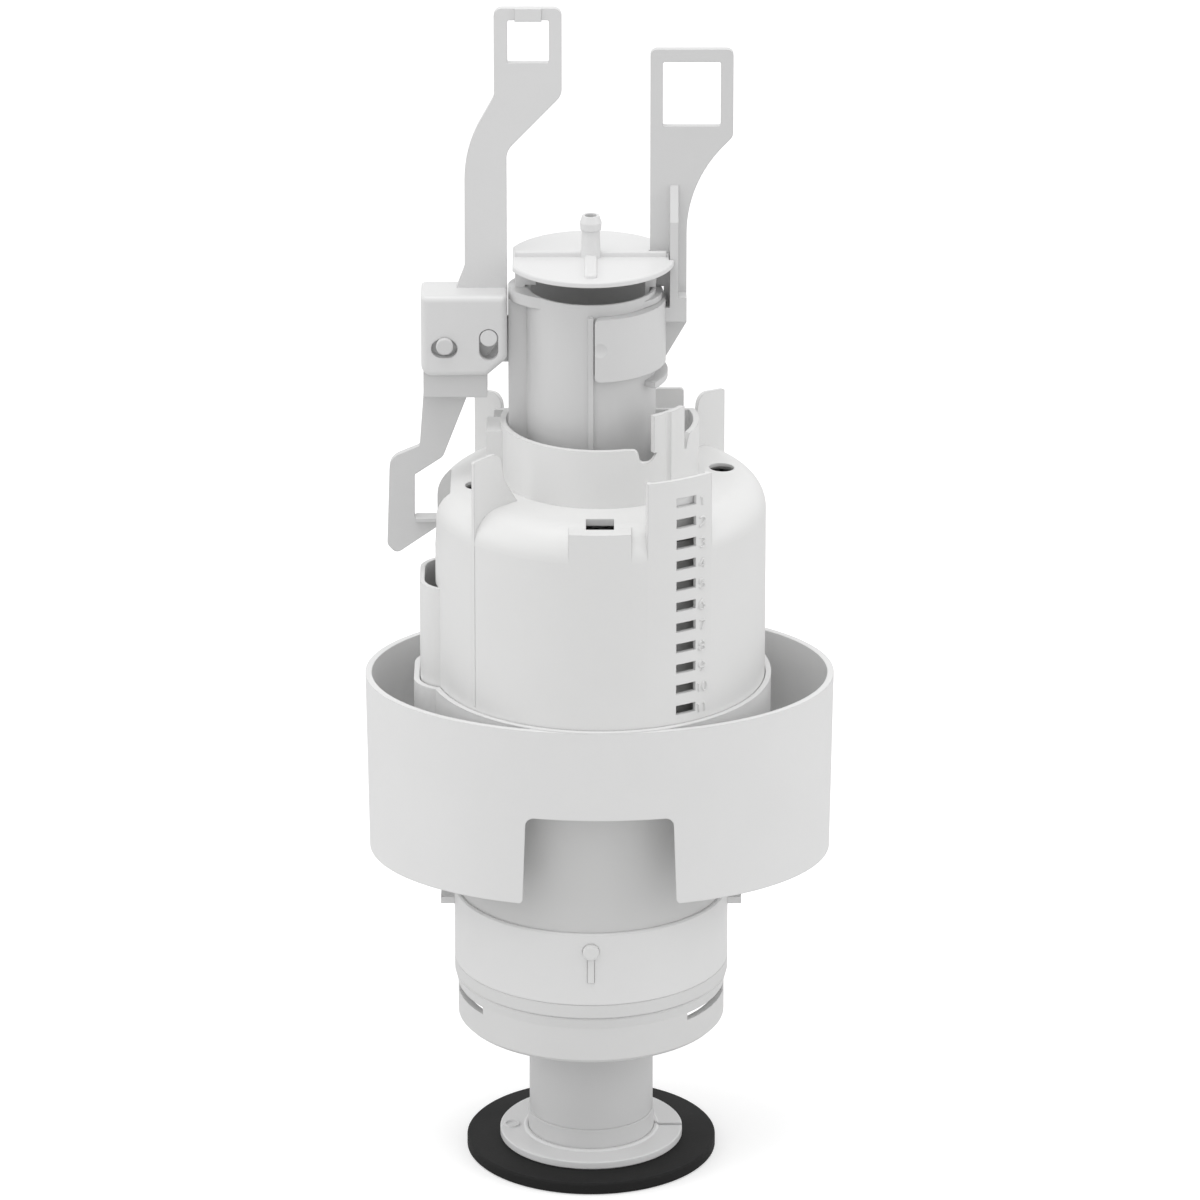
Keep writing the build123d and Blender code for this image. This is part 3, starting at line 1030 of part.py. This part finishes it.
def float_rod():
    """Thin rod pressed into the flat float."""
    x = HOUSING_X - CHANNEL_REACH + CHANNEL_WALL + LOOSE_GAP + SMALL_FLOAT_D / 2
    return drum(ROD_R, SMALL_FLOAT_Z + SMALL_FLOAT_H / 2, ROD_TOP_Z, x)


PIECES = (rubber_seal, tube_foot, seal_washer, overflow_tube, overflow_cap, full_flush_arm, half_flush_arm,
          half_flush_lever, lever_pivot_pin, main_float, float_clip, bell_housing, reservoir_cup, lower_body,
          bayonet_collar, lock_knob, skirt_ring, guide_bush, lower_guide, volume_slider, half_flush_float,
          float_rod)

if __name__ == "__main__":
    for piece in PIECES:
        solid = piece()
        solid.label = piece.__name__
        export_step(solid, f"parts/{piece.__name__}.step")
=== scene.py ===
import math

import bpy
import numpy as np
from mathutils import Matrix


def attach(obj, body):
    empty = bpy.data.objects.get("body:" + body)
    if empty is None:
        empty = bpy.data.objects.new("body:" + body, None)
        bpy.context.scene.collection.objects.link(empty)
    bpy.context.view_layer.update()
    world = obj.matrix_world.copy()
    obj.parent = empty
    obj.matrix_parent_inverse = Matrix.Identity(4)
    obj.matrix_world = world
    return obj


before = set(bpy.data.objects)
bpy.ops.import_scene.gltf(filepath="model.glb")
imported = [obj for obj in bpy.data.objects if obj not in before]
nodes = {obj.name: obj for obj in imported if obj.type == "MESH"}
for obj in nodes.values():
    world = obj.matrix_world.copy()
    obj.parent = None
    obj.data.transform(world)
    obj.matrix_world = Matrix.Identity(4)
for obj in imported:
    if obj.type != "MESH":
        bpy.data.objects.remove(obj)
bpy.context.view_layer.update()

# All lengths are in metres, in the frame's own axes. Angles on the bell are counted from its front.
BELL_AXIS_X = 0.00215

# Numerals beside the scale's windows
SCALE_R = 0.0411
FIRST_MARK_Z = 0.1862
MARK_PITCH = 0.00539
MARKS = 11
NUMERAL_ANGLE = math.radians(37.3)
NUMERAL_H = 0.00245
NUMERAL_W = 0.0018
PAIR_W = 0.0014
FIGURE_SPACING = 1.27
STROKE_W = 0.00048
STROKE_RISE = 0.00046
STROKE_SIDES = 12
END_TAPER = 1.6
END_SIZE = 0.12

# Dark wall behind the slider's way, put there to paint shade into the scale's windows; it wears the
# darker neck plastic
BACKING_R = 0.0358
BACKING_T = 0.0012
BACKING_ANGLES = (17.0, 43.0)
BACKING_Z = (0.1265, 0.1745)
BACKING_STEPS = 25

# Moulded plastic. A noise is given by its scale, detail and roughness.
CLOUD = (38.0, 3.0, 0.55)
SPECK = (1500.0, 2.0, 0.6)
FLOW = (170.0, 4.0, 0.5)
SPECK_IN_TONE = 0.25
SPECK_IN_GRAIN = 0.35
TONE_LOW = 0.965
TONE_HIGH = 1.03
GLOSS_SWING = 0.12
GRAIN_DEPTH = 0.00005
GRAIN_STRENGTH = 0.55
PLASTIC_EDGE_R = 0.00035
PLASTIC_IOR = 1.46

# Each plastic's material, level, warmth, roughness and nodes
PLASTICS = (
    ("housing_plastic", 0.76, 0.008, 0.42, ("bell_housing", "lock_knob")),
    ("ring_plastic", 0.775, 0.003, 0.42, ("reservoir_cup", "bayonet_collar")),
    # painted shade: the neck's plastic is darker than the ring's to stand in for the shade under
    # the ring; the windows' backing wall wears it too
    ("shaded_neck_plastic", 0.64, 0.008, 0.42, ("lower_body",)),
    ("skirt_plastic", 0.70, 0.006, 0.42, ("skirt_ring",)),
    ("cap_plastic", 0.75, 0.0, 0.36, ("overflow_cap",)),
    ("half_arm_plastic", 0.72, 0.0, 0.36, ("half_flush_arm", "lever_pivot_pin")),
    ("full_arm_plastic", 0.67, 0.0, 0.36, ("full_flush_arm",)),
    ("lever_plastic", 0.65, 0.0, 0.36, ("half_flush_lever",)),
    ("tube_plastic", 0.65, 0.0, 0.38, ("overflow_tube", "tube_foot")),
    # painted light: this plastic is lighter so that the washer's top reads as lit from above
    ("slider_washer_lit_plastic", 0.83, 0.0, 0.36, ("volume_slider", "seal_washer")),
    ("guide_plastic", 0.64, 0.0, 0.45, ("guide_bush", "lower_guide", "float_clip", "float_rod")),
    ("float_plastic", 0.62, 0.01, 0.4, ("main_float", "half_flush_float")),
)

# Moulded rubber
RUBBER_LEVEL = 0.007
BLOOM = (60.0, 5.0, 0.62)
PIT = (2200.0, 2.0, 0.5)
BLOOM_LOW = 0.8
BLOOM_HIGH = 1.35
RUBBER_ROUGHNESS = 0.6
BLOOM_ROUGHNESS = 0.2
PIT_DEPTH = 0.00006
PIT_STRENGTH = 0.6
RUBBER_EDGE_R = 0.0004
RUBBER_SPECULAR = 0.3

# Studio
BLACK = (0.0, 0.0, 0.0, 1.0)
WHITE = (1.0, 1.0, 1.0, 1.0)
FLOOR_R = 8.0
FLOOR_Z = -0.0002
FLOOR_SIDES = 96
FLOOR_NOISE = (12.0, 3.0, 0.5)
FLOOR_GREYS = (0.70, 0.73)
FLOOR_ROUGHNESS = 0.9
FLOOR_GLOW = 0.46
WORLD_LIGHT = 0.74
LAMP_AIM = (0.0, 0.0, 0.15)

# Each lamp's name, place, side and watts
LAMPS = (
    ("top_lamp", (-0.1, -0.2, 1.5), 0.7, 5.6),
    ("key_lamp", (-0.5, -0.9, 1.1), 0.9, 1.2),
    ("left_lamp", (-1.3, -0.1, 0.6), 0.9, 3.0),
    ("right_lamp", (1.3, -0.2, 0.6), 0.9, 3.6),
)

LENS_MM = 240.0
SENSOR_MM = 36.0
CLIP_START = 0.05
CLIP_END = 50.0
CAMERA_PLACE = (0.00225, -1.8541, 0.8558)
CAMERA_TILT = math.radians(69.1)

# Sockets of the Mix node when it mixes colours
MIX_SHARE = 0
MIX_LOW = 6
MIX_HIGH = 7
MIX_COLOUR = 2


# Shader maths written as expressions

class Wire:
    """An output socket. Arithmetic on it adds Math nodes to its tree."""

    def __init__(self, sheet, socket):
        self.sheet = sheet
        self.socket = socket

    def maths(self, operation, first, second):
        settings = {"operation": operation}
        return self.sheet.node("ShaderNodeMath", settings, {0: first, 1: second})

    def __add__(self, other):
        return self.maths("ADD", self, other)

    def __radd__(self, other):
        return self.maths("ADD", other, self)

    def __mul__(self, other):
        return self.maths("MULTIPLY", self, other)

    def __rmul__(self, other):
        return self.maths("MULTIPLY", other, self)


class Sheet:
    """The node tree of a material or of the world, with the shader that it ends in."""

    def __init__(self, tree, shader_type):
        self.tree = tree
        self.shader = next(n for n in tree.nodes if n.type == shader_type)

    def node(self, kind, settings=None, inputs=None, output=0):
        """Add a node, give it its settings, then its values or links, and return one output."""
        made = self.tree.nodes.new(kind)
        for key, value in (settings or {}).items():
            setattr(made, key, value)
        for key, value in (inputs or {}).items():
            self.plug(made.inputs[key], value)
        return Wire(self, made.outputs[output])

    def plug(self, socket, value):
        if isinstance(value, Wire):
            self.tree.links.new(value.socket, socket)
        else:
            socket.default_value = value

    def finish(self, **sockets):
        """Feed the shader, with spaces in a socket's name written as underscores."""
        for name, value in sockets.items():
            self.plug(self.shader.inputs[name.replace("_", " ")], value)

    def noise(self, scale, detail, roughness):
        """Noise from 0 to 1 on the piece's own Object coordinates."""
        place = self.node("ShaderNodeTexCoord", output="Object")
        inputs = {"Vector": place, "Scale": scale, "Detail": detail, "Roughness": roughness}
        return self.node("ShaderNodeTexNoise", None, inputs, "Fac")

    def tint(self, share, low, high):
        """Colour that goes from low to high as the share goes from 0 to 1."""
        inputs = {MIX_SHARE: share, MIX_LOW: low, MIX_HIGH: high}
        return self.node("ShaderNodeMix", {"data_type": "RGBA"}, inputs, MIX_COLOUR)

    def relief(self, height, depth, strength, edge_radius):
        """Normal of a fine relief, on edges rounded by a radius."""
        rounded = self.node("ShaderNodeBevel", {"samples": 4}, {"Radius": edge_radius})
        inputs = {"Height": height, "Distance": depth, "Strength": strength, "Normal": rounded}
        return self.node("ShaderNodeBump", None, inputs)


def material_sheet(name):
    """A new material and its sheet."""
    material = bpy.data.materials.new(name)
    material.use_nodes = True
    return material, Sheet(material.node_tree, "BSDF_PRINCIPLED")


def grey(level, warmth=0.0):
    """A neutral colour, slightly warm where warmth is above 0."""
    return (level, level, level * (1.0 - warmth), 1.0)


def moulded_plastic(name, level, warmth, roughness):
    """White moulded plastic: cloudy tone, fine grain, faint flow marks and softened edges."""
    material, sheet = material_sheet(name)
    cloud = sheet.noise(*CLOUD)
    speck = sheet.noise(*SPECK)
    flow = sheet.noise(*FLOW)
    tone = cloud * (1 - SPECK_IN_TONE) + speck * SPECK_IN_TONE
    low = grey(level * TONE_LOW, warmth)
    high = grey(level * TONE_HIGH, warmth * 0.5)
    grain = speck * SPECK_IN_GRAIN + flow * (1 - SPECK_IN_GRAIN)
    sheet.finish(
        Base_Color=sheet.tint(tone, low, high),
        Roughness=roughness - GLOSS_SWING / 2 + flow * GLOSS_SWING,
        Normal=sheet.relief(grain, GRAIN_DEPTH, GRAIN_STRENGTH, PLASTIC_EDGE_R),
        IOR=PLASTIC_IOR,
    )
    return material


def moulded_rubber(name, level):
    """Black moulded rubber: dusty bloom, tiny pits and softened edges."""
    material, sheet = material_sheet(name)
    bloom = sheet.noise(*BLOOM)
    pit = sheet.noise(*PIT)
    sheet.finish(
        Base_Color=sheet.tint(bloom, grey(level * BLOOM_LOW), grey(level * BLOOM_HIGH)),
        Roughness=RUBBER_ROUGHNESS + bloom * BLOOM_ROUGHNESS,
        Normal=sheet.relief(pit, PIT_DEPTH, PIT_STRENGTH, RUBBER_EDGE_R),
        Specular_IOR_Level=RUBBER_SPECULAR,
    )
    return material


def dress(material, names):
    """Give a material to the nodes of these names."""
    for name in names:
        nodes[name].data.materials.clear()
        nodes[name].data.materials.append(material)


finishes = {}
for finish, level, warmth, roughness, names in PLASTICS:
    finishes[finish] = moulded_plastic(finish, level, warmth, roughness)
    dress(finishes[finish], names)
dress(moulded_rubber("seal_rubber", RUBBER_LEVEL), ("rubber_seal",))


# Surfaces worked out as arrays

def tube_faces(along, around):
    """Faces of a grid that is closed round its second direction, and by one point at each end.

    Quads join each ring to the next. The two end points follow the grid's own points, and a fan
    of triangles joins each of them to its ring.
    """
    i, j = np.meshgrid(np.arange(along - 1), np.arange(around), indexing="ij")
    k = (j + 1) % around
    quads = [i * around + j, i * around + k, (i + 1) * around + k, (i + 1) * around + j]
    ring = np.arange(around)
    turn = (ring + 1) % around
    end = along * around
    last = end - around
    near = np.stack([np.full(around, end), turn, ring], -1)
    far = np.stack([np.full(around, end + 1), ring + last, turn + last], -1)
    return [np.stack(quads, -1).reshape(-1, 4), near, far]


def grid_piece(name, grids, material, body, smooth=True):
    """One piece from several grids of points, each of the shape (along, around, 3).

    The point that closes an end is the mean of the end's ring.
    """
    points = []
    faces = []
    start = 0
    for grid in grids:
        points += [grid.reshape(-1, 3), grid[[0, -1]].mean(axis=1)]
        for part in tube_faces(*grid.shape[:2]):
            faces += (part + start).tolist()
        start += grid.shape[0] * grid.shape[1] + 2
    mesh = bpy.data.meshes.new(name)
    mesh.from_pydata(np.concatenate(points).tolist(), [], faces)
    mesh.polygons.foreach_set("use_smooth", np.full(len(mesh.polygons), smooth))
    mesh.materials.append(material)
    mesh.update()
    piece = bpy.data.objects.new(name, mesh)
    bpy.context.scene.collection.objects.link(piece)
    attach(piece, body)


def bow(x, y, rx, ry, start, end, count=14):
    """Points on part of an ellipse.

    They are the centre plus (rx cos a, ry sin a), with a from start to end in degrees.
    """
    a = np.radians(np.linspace(start, end, count))
    return np.stack([x + rx * np.cos(a), y + ry * np.sin(a)], -1)


def line(*corners, count=5):
    """Points along straight strokes between the corners."""
    corners = np.array(corners, float)
    share = np.linspace(0, 1, count)[:, None]
    runs = [a + (b - a) * share for a, b in zip(corners[:-1], corners[1:])]
    return np.concatenate(runs)


# Figures as strokes in a square of side 1, from its lower left corner
STROKES = {
    "0": [bow(0.5, 0.5, 0.46, 0.5, 90, 450, 26)],
    "1": [line((0.5, 0.0), (0.5, 1.0)), line((0.22, 0.78), (0.5, 1.0))],
    "2": [np.concatenate([bow(0.5, 0.72, 0.44, 0.28, 165, -35),
                          line((0.82, 0.52), (0.05, 0.0), (0.95, 0.0))])],
    "3": [bow(0.46, 0.76, 0.4, 0.24, 150, -90), bow(0.46, 0.27, 0.46, 0.27, 90, -150)],
    "4": [line((0.68, 0.0), (0.68, 1.0), (0.04, 0.3), (0.96, 0.3))],
    "5": [np.concatenate([line((0.9, 1.0), (0.16, 1.0), (0.1, 0.56)),
                          bow(0.46, 0.32, 0.46, 0.32, 115, -150)])],
    "6": [bow(0.5, 0.3, 0.45, 0.3, 90, 450, 24), bow(0.95, 0.3, 0.9, 0.72, 180, 105)],
    "7": [line((0.05, 1.0), (0.95, 1.0), (0.36, 0.0))],
    "8": [bow(0.5, 0.76, 0.38, 0.24, 90, 450, 22), bow(0.5, 0.26, 0.46, 0.26, 90, 450, 22)],
    "9": [bow(0.5, 0.7, 0.45, 0.3, 90, 450, 24), bow(0.05, 0.7, 0.9, 0.72, 0, -75)],
}


def on_bell(radius, angle, z):
    """Points at a radius from the bell's axis, at an angle from its front, at a height."""
    return np.stack([BELL_AXIS_X + radius * np.sin(angle), -radius * np.cos(angle), z], -1)


def ridge(path, angle, height_z):
    """Raised stroke on the scale's curved face.

    The path is in metres, along the face and upwards. Across it runs a flattened ellipse, half
    the stroke wide each way and one rise high, which shrinks by a square root towards the path's
    ends. A point at distance s along the face sits at the angle plus s over the radius.
    """
    step = np.gradient(path, axis=0)
    step /= np.maximum(np.linalg.norm(step, axis=1, keepdims=True), 1e-12)
    side = np.stack([-step[:, 1], step[:, 0]], -1)
    count = len(path)
    share = np.linspace(0, 1, count)
    to_end = np.minimum(share, 1 - share) * count
    size = np.clip(to_end / END_TAPER, END_SIZE, 1.0)[:, None] ** 0.5
    turn = np.linspace(0, 2 * math.pi, STROKE_SIDES, endpoint=False)[None, :]
    across = np.cos(turn) * size * STROKE_W / 2
    rise = np.sin(turn) * size * STROKE_RISE
    s = path[:, None, 0] + side[:, None, 0] * across
    z = path[:, None, 1] + side[:, None, 1] * across + height_z
    return on_bell(SCALE_R + rise, angle + s / SCALE_R, z)


def numeral_strokes(text, angle, z):
    """Every stroke of a number, its figures side by side, centred on the angle and height."""
    width = NUMERAL_W if len(text) == 1 else PAIR_W
    pitch = width * FIGURE_SPACING
    start = -(len(text) * pitch - (pitch - width)) / 2
    size = np.array([width, NUMERAL_H])
    made = []
    for place, figure in enumerate(text):
        corner = np.array([start + place * pitch, -NUMERAL_H / 2])
        made += [ridge(stroke * size + corner, angle, z) for stroke in STROKES[figure]]
    return made


def curved_wall(radius, thickness, angles, heights):
    """Upright wall round the bell's axis.

    Its points lie at the radius, or that less the thickness, at an angle in degrees, low or high.
    """
    inner = radius - thickness
    low, high = heights
    angle = np.radians(np.linspace(*angles, BACKING_STEPS))[:, None]
    r = np.array([radius, radius, inner, inner])[None, :]
    z = np.array([low, high, high, low])[None, :] + 0 * angle
    return on_bell(r, angle, z)


numerals = []
for mark in range(MARKS):
    mark_z = FIRST_MARK_Z - mark * MARK_PITCH
    numerals += numeral_strokes(str(mark + 1), NUMERAL_ANGLE, mark_z)
grid_piece("scale_numerals", numerals, finishes["housing_plastic"], "housing")

# painted shade: this wall stands behind the scale's windows only to darken them
backing = curved_wall(BACKING_R, BACKING_T, BACKING_ANGLES, BACKING_Z)
grid_piece("window_shade_backing", [backing], finishes["shaded_neck_plastic"], "housing",
           smooth=False)


# Studio: pale floor, white surroundings and four soft lamps

def studio_floor():
    """Round pale floor. The camera sees it white, and it keeps a soft shadow."""
    material, sheet = material_sheet("studio_floor")
    seen = sheet.node("ShaderNodeLightPath", output="Is Camera Ray")
    low, high = FLOOR_GREYS
    sheet.finish(
        Base_Color=sheet.tint(sheet.noise(*FLOOR_NOISE), grey(low), grey(high)),
        Roughness=FLOOR_ROUGHNESS,
        Emission_Color=sheet.tint(seen, BLACK, WHITE),
        Emission_Strength=FLOOR_GLOW,
    )
    turn = np.linspace(0, 2 * math.pi, FLOOR_SIDES, endpoint=False)
    rim = np.stack([FLOOR_R * np.cos(turn), FLOOR_R * np.sin(turn), 0 * turn + FLOOR_Z], -1)
    mesh = bpy.data.meshes.new("studio_floor")
    mesh.from_pydata(rim.tolist(), [], [list(range(FLOOR_SIDES))])
    mesh.materials.append(material)
    floor = bpy.data.objects.new("studio_floor", mesh)
    bpy.context.scene.collection.objects.link(floor)


def studio_world():
    """Even white surroundings: white where seen or mirrored, a little dimmer as light."""
    world = bpy.data.worlds.new("studio_world")
    bpy.context.scene.world = world
    world.use_nodes = True
    sheet = Sheet(world.node_tree, "BACKGROUND")
    camera_ray = sheet.node("ShaderNodeLightPath", output="Is Camera Ray")
    glossy_ray = sheet.node("ShaderNodeLightPath", output="Is Glossy Ray")
    seen = camera_ray.maths("MAXIMUM", camera_ray, glossy_ray)
    sheet.finish(Color=WHITE, Strength=WORLD_LIGHT + seen * (1 - WORLD_LIGHT))


def soft_lamp(name, place, side, watts):
    """Square soft lamp that looks at the aim point."""
    light = bpy.data.lights.new(name, "AREA")
    light.shape = "SQUARE"
    light.size = side
    light.energy = watts
    lamp = bpy.data.objects.new(name, light)
    bpy.context.scene.collection.objects.link(lamp)
    lamp.location = place
    way = np.array(LAMP_AIM) - np.array(place)
    way /= np.linalg.norm(way)
    lamp.rotation_euler = (math.acos(-way[2]), 0.0, math.atan2(way[1], way[0]) - math.pi / 2)


def studio_camera():
    """Camera at the photograph's place, looking down at the valve."""
    data = bpy.data.cameras.new("camera")
    data.lens = LENS_MM
    data.sensor_width = SENSOR_MM
    data.clip_start = CLIP_START
    data.clip_end = CLIP_END
    camera = bpy.data.objects.new("camera", data)
    bpy.context.scene.collection.objects.link(camera)
    camera.location = CAMERA_PLACE
    camera.rotation_euler = (CAMERA_TILT, 0.0, 0.0)
    bpy.context.scene.camera = camera


studio_floor()
studio_world()
for lamp in LAMPS:
    soft_lamp(*lamp)
studio_camera()
bpy.context.scene.view_settings.view_transform = "Standard"
